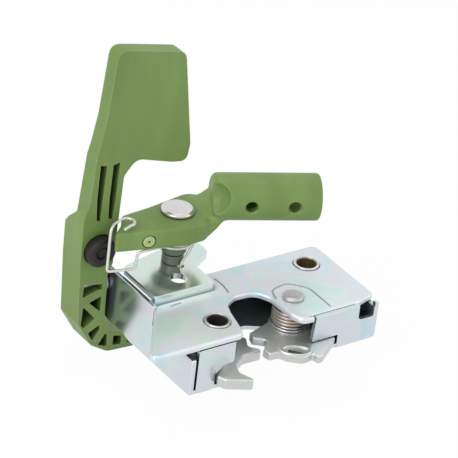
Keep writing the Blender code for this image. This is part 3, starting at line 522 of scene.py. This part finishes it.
def round_bar(points, radius, material, roundness=4):
    # A round bar along points in millimetres, closed at its ends
    curve = bpy.data.curves.new("bar", "CURVE")
    curve.dimensions = "3D"
    curve.bevel_depth = radius * MM
    curve.bevel_resolution = roundness
    curve.use_fill_caps = True
    spline = curve.splines.new("POLY")
    spline.points.add(len(points) - 1)
    for point, place in zip(spline.points, points):
        point.co = (*(Vector(place) * MM), 1)
    holder = bpy.data.objects.new("bar", curve)
    scene.collection.objects.link(holder)
    bpy.context.view_layer.update()
    mesh = bpy.data.meshes.new_from_object(holder.evaluated_get(bpy.context.evaluated_depsgraph_get()))
    bpy.data.objects.remove(holder)
    work = bmesh.new()
    work.from_mesh(mesh)
    bmesh.ops.remove_doubles(work, verts=work.verts, dist=0.00001)
    bmesh.ops.recalc_face_normals(work, faces=work.faces)
    work.to_mesh(mesh)
    work.free()
    mesh.materials.clear()
    mesh.materials.append(material)
    return mesh


# The press leaves a half-sheared teardrop pad round the rotor's rivet, a curved witness mark
# behind the throat and a short slit at the back edge
pad = rounded([(31.2, 3.4, 0), (33.4, 9.8, 4), (42.4, 11.8, 6), (48.6, 4.6, 6), (48.5, -10.4, 0)])
pad_line = [(x, y, 0.1) for x, y in pad]
mark_line = [(x, y, 0.08) for x, y in ((16.9, 27.2), (17.3, 23.6), (17.2, 20.4), (16.7, 17.4), (16.1, 15.6))]
slit_line = [(x, y, 0.05) for x, y in ((-11.2, 16.9), (-8.6, 17.3), (-6.0, 17.3))]
# The grooves' cut faces take this dark zinc: painted shade in the grooves
groove_shade_zinc = plated("groove_shade_zinc", (0.42, 0.46, 0.47), None, 0.6, gloss=0.4, metallic=0.4)
lines = ((pad_line, 0.5), (mark_line, 0.44), (slit_line, 0.5))
carved(cover, [round_bar(points, radius, groove_shade_zinc, 2) for points, radius in lines])

# Arm bracket: a bent plate behind the cover, plated as the case is, which carries the arm.
# It is bright enough to mirror the green parts over it, and its base colour is tinted green as a painted
# reflection of them.
mirror_zinc = plated("mirror_zinc", (0.70, 0.81, 0.74), zinc_edge_wear_light, 0.6, gloss=0.15, metallic=0.9, bump=0.03)


def bracket_edge(spot):
    # The fold along its front is wide
    return 2.3 if spot.y < 20.8 and spot.z > 3 else 0.45


refined("arm_bracket", mirror_zinc, "case", "zinc", bracket_edge, steps=4)


# Bushes: turned steel tubes through the case, flared over the cover, with a bearing sleeve inside. The front
# one's lining is black, painted shade in its bore, and the rear one has a bronze lining.
def lathe(profile, x, y, matrix=None, sides=64):
    # The profile is a closed loop of (radius, height), or starts and ends on the axis
    work = bmesh.new()
    closed = profile[0][0] > 0
    rings = []
    for radius, height in profile:
        if radius == 0:
            rings.append([work.verts.new((0, 0, height * MM))] * sides)
            continue
        ring = circle(0, 0, radius, sides)
        rings.append([work.verts.new((a * MM, b * MM, height * MM)) for a, b in ring])
    pairs = list(zip(rings, rings[1:]))
    if closed:
        pairs.append((rings[-1], rings[0]))
    for first, second in pairs:
        for k in range(sides):
            j = (k + 1) % sides
            corners = []
            for vertex in (first[k], first[j], second[j], second[k]):
                if vertex not in corners:
                    corners.append(vertex)
            work.faces.new(corners)
    bmesh.ops.recalc_face_normals(work, faces=work.faces)
    mesh = bpy.data.meshes.new("turned")
    work.to_mesh(mesh)
    work.free()
    mesh.transform(Matrix.Translation((x * MM, y * MM, 0)) @ (matrix or Matrix.Identity(4)))
    return mesh


bright = plated("bright_steel", (0.70, 0.68, 0.68), (0.90, 0.89, 0.88), 0.35, 90.0, 0.2, 0.85)
bore_shade_black = plated("bore_shade_black", (0.05, 0.045, 0.05), (0.2, 0.19, 0.2), 0.3, gloss=0.35, metallic=0.4)
bronze_lining = plated("bronze_lining", (0.34, 0.27, 0.17), (0.6, 0.5, 0.35), 0.3, gloss=0.25, metallic=0.8)
for node, x, y, depth, lining in (
    ("front_bush", 0, 0, 22.8, bore_shade_black),
    ("rear_bush", rear_x, rear_y, 17.7, bronze_lining),
):
    flare = rounded([
        (4.55, 0.1, 0), (4.55, 0.6, 0.25), (5.45, 0.6, 0.3), (5.45, -depth, 0.3), (4.55, -depth, 0.2),
    ], 4)
    add_piece(node + "_shape", lathe(flare, x, y), bright, "case", "bright", node)
    sleeve = rounded([(4.1, 0.25, 0.2), (4.6, 0.25, 0.1), (4.6, -depth, 0.1), (4.1, -depth, 0.2)], 3)
    add_piece(node + "_lining", lathe(sleeve, x, y), lining, "case", "bright")

# Rotor rivet: plain steel with a low domed head over the pad, hammered dull where it was set,
# and its turned-over end under the tray
hammered = plated("hammered_steel", (0.52, 0.50, 0.50), (0.72, 0.70, 0.70), 0.3, 200.0, 0.34, 0.7, 0.2)
head = rounded([
    (0, 1.7, 0), (3.3, 1.62, 1.5), (4.55, 1.1, 0.6), (4.6, 0.3, 0.2), (2.9, 0.3, 0), (2.9, -18, 0),
], 4)
head += [(4.4, -18), (4.1, -19.1), (0, -19.2)]
add_piece("rotor_rivet_shape", lathe(head, rivet_x, rivet_y), hammered, "case", "bright", "rotor_rivet")

# Claw: the left fork, forged and tumbled, so that its edges are blunt and its faces a little
# uneven. It turns on the front bush.
forged = plated("forged_plating", (0.61, 0.63, 0.61), (0.88, 0.89, 0.87), 0.6, 70.0, 0.3, 0.7, 0.3)
claw_top, claw_low = -15.7, -20.3
claw = rounded([
    (13.4, 9.6, 6), (19.4, 4.6, 1.5), (16.4, -1.2, 2), (19.6, -4.4, 1), (19.2, -6.4, 1), (10.5, -6.2, 4),
    (4.2, -10, 5), (2.4, -15.5, 3), (4.8, -21.4, 1), (4.0, -23.2, 1), (-6.0, -18.0, 1.8), (-7.6, -14.2, 1),
    (-6.4, -13, 0.8), (-6.0, -10, 4), (-9.4, 0, 6), (-7.5, 8.5, 7),
])
claw_bore = circle(0, 0, 5.9)
claw_mesh = rolled_plate([(claw, 0.8, 0.5), (claw_bore, 0.2, 0.2)], claw_low, claw_top)
add_piece("left_claw_shape", claw_mesh, forged, "claw", "forged", "left_claw")

# Rotor: the right fork, forged and plated as the claw is, and held by the rivet under its coil.
# It has a blind slot behind its front rim, and a raised oval seat round that.
rotor_top, rotor_low = -12.0, -15.4
hub_radius, rotor_bore_radius = 8.8, 3.3
outline = arc(rivet_x, rivet_y, hub_radius, -25, 150, 24)
# The first and last corners only lead the outline in and out of the hub, so they are cut off
outline += rounded([
    (26.8, 3.2, 2), (19.0, 2.4, 1), (17.6, -1.6, 1), (22.4, -5.4, 2), (16.6, -10.8, 1), (17.2, -14.4, 1),
    (21.6, -14.6, 2), (23.6, -18.4, 3), (28.6, -22.4, 4), (33.4, -21.6, 0.8), (34.0, -24.8, 0.8),
    (36.6, -24.4, 0.8), (49.0, -15.6, 1.2), (47.2, -8, 3),
])[8:-8]
rotor_loops = [(outline, 0.6, 0.4), (circle(rivet_x, rivet_y, rotor_bore_radius, 24), 0.1, 0.1)]
rotor_mesh = rolled_plate(rotor_loops, rotor_low, rotor_top)
rotor = add_piece("right_rotor_shape", rotor_mesh, forged, "rotor", "forged", "right_rotor")
slot_run = [(25.4, -15.7, rotor_top), (30.2, -20.8, rotor_top)]
# The slot's faces take the black lining: painted shade in the slot
carved(rotor, [round_bar(slot_run, 1.0, bore_shade_black)])
seat_turn = Matrix.Rotation(radians(-30), 2)
seat_loops = []
for x, y, half_length, half_width in ((28.6, -15.6, 7.6, 5.4), (28.2, -17.2, 5.2, 2.6)):
    ring = [Vector((half_length * c, half_width * s)) for c, s in circle(0, 0, 1)]
    seat_loops.append(([tuple(Vector((x, y)) + seat_turn @ point) for point in ring], 0.6, 0))
seat_mesh = rolled_plate(seat_loops, rotor_top - 0.2, rotor_top + 0.75)
add_piece("rotor_seat", seat_mesh, forged, "rotor", "forged")

# Pawl: the hidden catch that holds the rotor shut. It is forged and plated as the claw is, and
# turns on the rear bush.
refined("pawl", forged, "pawl", "forged", 0.3)

# Washers, sleeves and spacers: plain turned steel rings, slipped over the bushes and rivets to keep the
# moving pieces apart. Those under the arm are dark, painted shade under the arm.
for node in ("lower_washer", "upper_washer"):
    refined(node, bright, "case", "bright", 0.14)
for node in ("spring_sleeve", "claw_spacer", "pawl_spacer"):
    refined(node, forged, "case", "forged", 0.2)
under_arm_shade = plated("under_arm_shade_steel", (0.15, 0.19, 0.13), (0.34, 0.38, 0.32), 0.3, gloss=0.45, metallic=0.35)
for node in ("arm_sleeve", "arm_spacer"):
    refined(node, under_arm_shade, "case", "forged", 0.2)


# Springs: hard-drawn wire, brownish on the rotor's coil and pale on the arm's, where one leg
# drops into the bracket and the other goes round the bumper into a hook.
def eased(points, reach, steps=6):
    # Rounds each bend of a path by a reach in millimetres
    path = [Vector(points[0])]
    for before, here, after in zip(points, points[1:], points[2:]):
        here = Vector(here)
        a, b = Vector(before) - here, Vector(after) - here
        ra, rb = min(reach, 0.48 * a.length), min(reach, 0.48 * b.length)
        for k in range(steps + 1):
            t = k / steps
            path.append(here + a.normalized() * ra * (1 - t) ** 2 + b.normalized() * rb * t ** 2)
    path.append(Vector(points[-1]))
    return path


def helix(x, y, radius, low, high, turns, start):
    points_per_turn = 40
    count = int(turns * points_per_turn)
    points = []
    for i in range(count + 1):
        angle = radians(start) + 2 * pi * turns * i / count
        points.append((x + radius * cos(angle), y + radius * sin(angle), low + (high - low) * i / count))
    return points


def spring(name, path, diameter, material, body, node):
    return add_piece(name, round_bar(path, diameter / 2, material), material, body, "wire", node)


brown_wire = plated("brown_wire", (0.50, 0.43, 0.38), None, 0.3, 120.0, 0.3, 0.7, 0.0)
pale_wire = plated("pale_wire", (0.76, 0.74, 0.68), None, 0.3, 120.0, 0.34, 0.5, 0.0)
coil_low, coil_high, coil_turns = -9.7, -3.35, 4.2
coil_radius, coil_wire = 7.3, 1.4
coil = helix(rivet_x, rivet_y, coil_radius, coil_low, coil_high, coil_turns, 60)
spring("rotor_spring_wire", coil, coil_wire, brown_wire, "case", "rotor_spring")
refined("claw_spring", brown_wire, "case", "wire", 0.01, 1)
refined("pawl_spring", brown_wire, "case", "wire", 0.01, 1)
pivot_x, pivot_y = 5.2, 41.2
pivot_coil_radius, pivot_wire = 7.9, 1.2
pivot_pitch, pivot_turns = 1.4, 3
coil_top = 17.1
coil_base = coil_top - pivot_pitch * pivot_turns
leg = eased([
    (6, 36.2, 1.8), (6.1, 36.0, 5.4), (8.4, 34.9, coil_base - 2.5), (9.0, 34.3, coil_base),
], 1.5)[:-1]
turns = helix(pivot_x, pivot_y, pivot_coil_radius, coil_base, coil_top, pivot_turns - 0.1, 298)
hook_z = 29.6
hook = [(x, y, hook_z) for x, y in arc(-20.6, 38.9, 2.9, 105, -95, 12)]
tail = eased([
    turns[-1], (-9.5, 34.1, coil_top), (-15.6, 34.3, coil_top), (-17.0, 34.8, coil_top - 1),
    (-17.4, 35.0, 9.6), (-18.2, 35.3, 9), (-28.2, 37.8, 9), (-29.0, 38.0, 9.8), (-29.0, 38.0, 27),
    (-28.4, 38.5, 28.8), (-26.2, 40.0, hook_z), hook[0],
], 1.3)
hook_end = [(-24.6, 34.6, hook_z)]
arm_path = leg + turns + tail[1:-1] + hook + hook_end
arm_wire = spring("arm_spring_wire", arm_path, pivot_wire, pale_wire, None, "arm_spring")
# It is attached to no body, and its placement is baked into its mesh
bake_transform(arm_wire)

# Arm rivet: the broad headed steel pivot, bevelled round its rim, that holds the arm on the
# bracket and is turned over below it.
seat_z = 27.3
head = rounded([
    (0, seat_z + 1.8, 0), (5.9, seat_z + 1.8, 0.5), (6.9, seat_z + 1.1, 0.5), (6.9, seat_z + 0.2, 0.3),
    (6.4, seat_z, 0.2), (3, seat_z, 0), (3, 1, 0), (4.6, 1, 0.3), (4.6, -0.4, 0.3),
], 4)
head.append((0, -0.4))
add_piece("arm_rivet_shape", lathe(head, pivot_x, pivot_y), bright, "case", "bright", "arm_rivet")

# Swing arm: one moulding in green nylon. Its flat end turns on the rivet, and a neck flows up
# from it into a tube with two cross holes for the rod.
skin, taken, given = effect_group(
    "moulded_skin",
    [("Low", "NodeSocketColor", (0.2, 0.3, 0.1, 1)), ("High", "NodeSocketColor", (0.3, 0.4, 0.2, 1)),
     ("Cloud", "NodeSocketFloat", 50.0), ("Gloss", "NodeSocketFloat", 0.4),
     ("Grain", "NodeSocketFloat", 2500.0)],
    [("Colour", "NodeSocketColor"), ("Roughness", "NodeSocketFloat"), ("Height", "NodeSocketFloat")],
)
spot = skin.nodes.new("ShaderNodeTexCoord").outputs["Object"]
streaks = skin.nodes.new("ShaderNodeVectorMath")
streaks.operation = "MULTIPLY"
streaks.inputs[1].default_value = (1, 1, 0.2)
skin.links.new(spot, streaks.inputs[0])
shade = ramp(skin, noise(skin, streaks.outputs[0], taken.outputs["Cloud"], 3.0), [
    (0.3, (0, 0, 0)),
    (0.7, (1, 1, 1)),
])
clouded = blend_colour(skin, shade, taken.outputs["Low"], taken.outputs["High"])
skin.links.new(clouded, given.inputs["Colour"])
fine = noise(skin, spot, taken.outputs["Grain"], 2.0)
dulling = maths(skin, "MULTIPLY", fine, 0.14)
skin.links.new(maths(skin, "ADD", taken.outputs["Gloss"], dulling), given.inputs["Roughness"])
skin.links.new(fine, given.inputs["Height"])


def moulded(name, low, high, edge, cloud, gloss, grain, bump, specular):
    material, tree = new_material(name)
    body = use_group(tree, skin, {
        "Low": (*low, 1), "High": (*high, 1), "Cloud": cloud, "Gloss": gloss, "Grain": grain,
    })
    # Lighter edges: wear and painted highlight
    edge_wear_light = use_group(tree, edges, {"Radius": 0.0007, "Strength": 2.0})
    colour = blend_colour(tree, edge_wear_light.outputs["Mask"], body.outputs["Colour"], (*edge, 1))
    # Painted shade darkens the pockets, slots and gaps between parts
    colour = painted_shade(tree, colour, 0.006, 0.22)
    shader = finish_with(tree, colour, body.outputs["Roughness"], body.outputs["Height"], bump)
    shader.inputs["Specular IOR Level"].default_value = specular
    return material


green = moulded(
    "green_nylon", (0.150, 0.248, 0.056), (0.195, 0.308, 0.082), (0.34, 0.46, 0.19),
    75.0, 0.42, 2600.0, 0.12, 0.55,
)
arm_low, arm_top = 18.0, 27.0
flat_end = rounded([
    (-28.2, 36.5, 1.4), (2.6, 28.6, 8), (11.5, 28.8, 5), (16.2, 32.4, 4), (21.5, 42, 4), (21.5, 49.6, 5),
    (16.5, 52.8, 8), (-2.4, 49.6, 10), (-17.5, 48.2, 1.5), (-18.3, 44.8, 2),
])
tube_x, tube_y, tube_z, tube_angle = 24.2, 34.4, 33.25, radians(-24.8)
tube_radius, tube_length, tube_root = 9.75, 37.6, -6.6
tube_place = Matrix.Translation((tube_x * MM, tube_y * MM, tube_z * MM)) @ Matrix.Rotation(tube_angle, 4, "Z")
along = tube_place @ Matrix.Rotation(pi / 2, 4, "Y")
flat_mesh = rolled_plate([(flat_end, 0.9, 1.0)], arm_low, arm_top)
tube_end = rounded([
    (0, tube_length, 0), (tube_radius, tube_length, 0.9), (tube_radius, tube_root, 2.6), (0, tube_root, 0),
], 6)
arm = add_piece("swing_arm_shape", lathe(tube_end, 0, 0, along), green, "arm", "green", "swing_arm")

# The thumb-sized hollow in front of the neck, scooped before the parts flow together
hollow = bmesh.new()
hollow_place = tube_place @ Matrix.Translation(Vector((-7, -8.65, 3.7)) * MM)
hollow_place = hollow_place @ Matrix.Rotation(radians(-23), 4, "X")
hollow_size = Matrix.Diagonal((6.6 * MM, 6.4 * MM, 7.2 * MM, 1))
bmesh.ops.create_uvsphere(hollow, u_segments=32, v_segments=20, radius=1, matrix=hollow_place @ hollow_size)
hollow_mesh = bpy.data.meshes.new("hollow")
hollow.to_mesh(hollow_mesh)
hollow.free()
carved(arm, [hollow_mesh])

# Sections of the neck: x, y, z, half width, half height, squareness and turn
neck_sections = [
    (9, 40.4, 22.5, 10.4, 4.4, 0.35, 0), (14.5, 39.8, 22.8, 10.2, 4.6, 0.4, -2),
    (18.5, 38.4, 25.6, 9.6, 4.9, 0.6, -8), (22, 36.4, 30.0, 9.3, 6.8, 0.85, -18),
    (26.5, 33.5, 33.0, 9.1, 9.1, 1.0, -24.8), (29.0, 32.2, 33.0, 9.0, 9.0, 1.0, -24.8),
]
neck = bmesh.new()
rings = []
sides, between = 48, 6
for first, second in zip(neck_sections, neck_sections[1:]):
    for i in range(between):
        x, y, z, half_w, half_h, power, swing = (a + (b - a) * i / between for a, b in zip(first, second))
        ring = []
        for k in range(sides):
            angle = 2 * pi * (k + 0.5) / sides
            w = half_w * abs(cos(angle)) ** power * (1 if cos(angle) > 0 else -1)
            h = half_h * abs(sin(angle)) ** power * (1 if sin(angle) > 0 else -1)
            turn = radians(swing)
            ring.append(neck.verts.new(((x - w * sin(turn)) * MM, (y + w * cos(turn)) * MM, (z + h) * MM)))
        rings.append(ring)
for first, second in zip(rings, rings[1:]):
    for k in range(sides):
        neck.faces.new((first[k], first[(k + 1) % sides], second[(k + 1) % sides], second[k]))
neck.faces.new(rings[0])
neck.faces.new(rings[-1])
bmesh.ops.recalc_face_normals(neck, faces=neck.faces)
neck_mesh = bpy.data.meshes.new("neck")
neck.to_mesh(neck_mesh)
neck.free()
carved(arm, [flat_mesh, neck_mesh], "UNION")
arm.modifiers.clear()
fuse = arm.modifiers.new("fuse", "REMESH")
fuse.mode = "VOXEL"
fuse.voxel_size = 0.45 * MM
flow = arm.modifiers.new("flow", "SMOOTH")
flow.factor = 0.5
flow.iterations = 12
applied(arm)
arm.data.shade_smooth()

# The bore, the two cross holes, the rivet's hole and the plug's are cut after the parts have flowed
plug_run = Vector((28.1, -7.8)).normalized()
plug_turn = Matrix.Rotation(-acos(plug_run.x), 4, "Z") @ Matrix.Rotation(-pi / 2, 4, "X")
plug_place = Matrix.Translation((-13.4 * MM, 33.05 * MM, 22.0 * MM)) @ plug_turn
bore_radius, bore_end = 6.3, 5
mouth = [(0, tube_length + 1), (6.9, tube_length + 1), (6.9, tube_length - 0.4)]
mouth += [(bore_radius, tube_length - 1), (bore_radius, bore_end), (0, bore_end)]
cuts = [lathe(mouth, 0, 0, along)]
cross_holes = (8.6, 26.4)
for hole in cross_holes:
    side = tube_place @ Matrix.Translation((hole * MM, 0, 0)) @ Matrix.Rotation(pi / 2, 4, "X")
    flare = [(0, 11), (3.4, 11), (3.1, 9.4), (2.4, 8.6), (2.4, -8.6), (3.1, -9.4), (3.4, -11), (0, -11)]
    cuts.append(lathe(flare, 0, 0, side, 32))
rivet_cut = [(0, arm_top + 1), (3.3, arm_top + 1), (3.3, arm_low - 1), (0, arm_low - 1)]
cuts.append(lathe(rivet_cut, pivot_x, pivot_y, None, 32))
plug_cut = [(0, 5), (3.0, 5), (3.0, -1), (0, -1)]
cuts.append(lathe(plug_cut, 0, 0, plug_place, 32))
carved(arm, cuts)

# Arm plug: a pale green nylon plug, moulded by itself with a small hole in its centre, and
# pressed into the arm's front face.
lime = moulded(
    "lime_nylon", (0.34, 0.47, 0.16), (0.43, 0.56, 0.24), (0.6, 0.7, 0.4), 120.0, 0.34, 2600.0, 0.1, 0.45,
)
button = rounded([
    (0, -1.2, 0), (0.45, -1.2, 0), (0.45, 0.5, 0.2), (1.0, 0.85, 0.4), (2.0, 0.9, 0.5), (2.8, 0.2, 0.5),
], 4)
button += [(2.8, -4.4), (0, -4.4)]
spin = plug_place @ Matrix.Rotation(pi, 4, "X")
add_piece("arm_plug_shape", lathe(button, 0, 0, spin, 32), lime, "arm", "lime", "arm_plug")


# Paddle: the moulded pull lever in the same green nylon. Its foot is ribbed with pockets, its
# column has two slots, and its broad blade is rounded off generously down its left side.
def paddle_edge(spot):
    # The pockets' rims are nearly sharp, and the left side is rounder towards the blade
    at_front = spot.y < 47.3
    outer = spot.x < -29 or spot.z > 102
    in_pockets = -33.6 < spot.x < -23 and -31 < spot.z < -1.2
    if at_front and in_pockets:
        return 0.35
    if at_front and outer and spot.z > 56:
        return 4.2
    if at_front and spot.x < -29.5 and spot.z > -22:
        return 2.2
    return 0.5


def paddle_flow(spot):
    # The blade narrows upwards, and the foot's shoulder is low and square at the back
    moved = spot.copy()
    if spot.z > 50:
        lean = (spot.z - 50) / 54
        moved.x += 2.3 * lean if spot.x < -10 else 0.6 * lean
    if spot.y > 55.6 and 21 < spot.z < 38:
        moved.z = 22.4 + 0.4 * (spot.z - 21)
    return moved


refined("paddle", green, "paddle", "green", paddle_edge, steps=5, reshape=paddle_flow)

# Bumper: a black rubber plug pressed into the paddle's face beside the spring's leg. Its screw
# is blackened too, and sunk in it.
rubber = moulded(
    "black_rubber", (0.014, 0.012, 0.011), (0.03, 0.027, 0.025), (0.07, 0.06, 0.06),
    200.0, 0.45, 1800.0, 0.3, 0.3,
)
refined("bumper_plug", rubber, "paddle", "black", 0.5)
refined("bumper_screw", rubber, "paddle", "black", 0.2)

# Paddle pin: a bright headed steel pin through the tray's wall and the paddle, held at its end
# by a push-on ring.
for node in ("paddle_pin", "pin_washer"):
    refined(node, bright, "case", "bright", 0.2)
